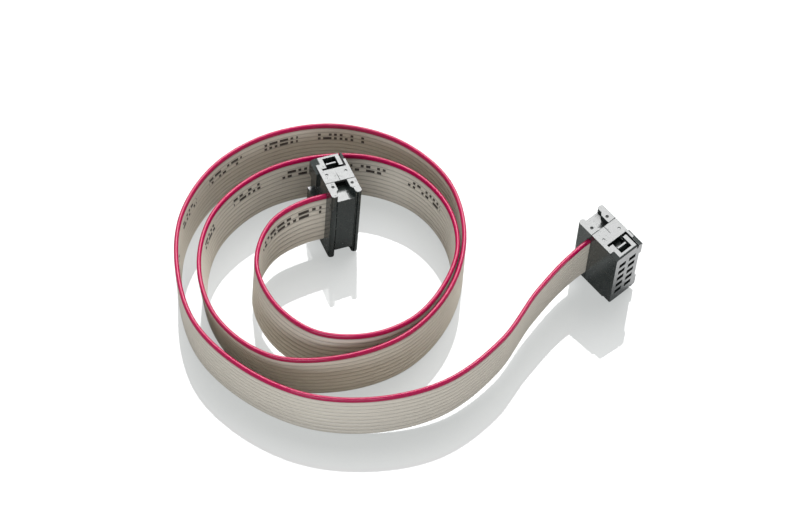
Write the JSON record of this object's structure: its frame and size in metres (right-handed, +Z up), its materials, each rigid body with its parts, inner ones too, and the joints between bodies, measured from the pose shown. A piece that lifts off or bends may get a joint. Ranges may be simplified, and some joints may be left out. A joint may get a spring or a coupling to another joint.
{
  "type": "ribbon cable",
  "caption": "Flat ribbon cable standing on edge in a loose coil, with a two-row crimped socket on each end.",
  "frame": {"origin": "on the floor, under the middle of the box around the two sockets", "axes": "+Z up, along both sockets' long sides; +X from the inner socket to the outer one; the coil lies towards -Y"},
  "size_m": [0.0902, 0.0669, 0.0186],
  "materials": {
    "cable_sheath": "warm grey PVC, satin",
    "socket_plastic": "charcoal glass-filled polyester, fine matt",
    "contact_metal": "gold-flashed spring strip"
  },
  "bodies": {
    "root": {"ribbon_cable": "cable_sheath", "inner_socket_body": "socket_plastic", "inner_socket_cover": "socket_plastic", "outer_socket_body": "socket_plastic", "outer_socket_cover": "socket_plastic", "inner_contact_1": "contact_metal", "inner_contact_2": "contact_metal", "inner_contact_3": "contact_metal", "inner_contact_4": "contact_metal", "inner_contact_5": "contact_metal", "inner_contact_6": "contact_metal", "inner_contact_7": "contact_metal", "inner_contact_8": "contact_metal", "inner_contact_9": "contact_metal", "inner_contact_10": "contact_metal", "outer_contact_1": "contact_metal", "outer_contact_2": "contact_metal", "outer_contact_3": "contact_metal", "outer_contact_4": "contact_metal", "outer_contact_5": "contact_metal", "outer_contact_6": "contact_metal", "outer_contact_7": "contact_metal", "outer_contact_8": "contact_metal", "outer_contact_9": "contact_metal", "outer_contact_10": "contact_metal"}
  },
  "joints": []
}
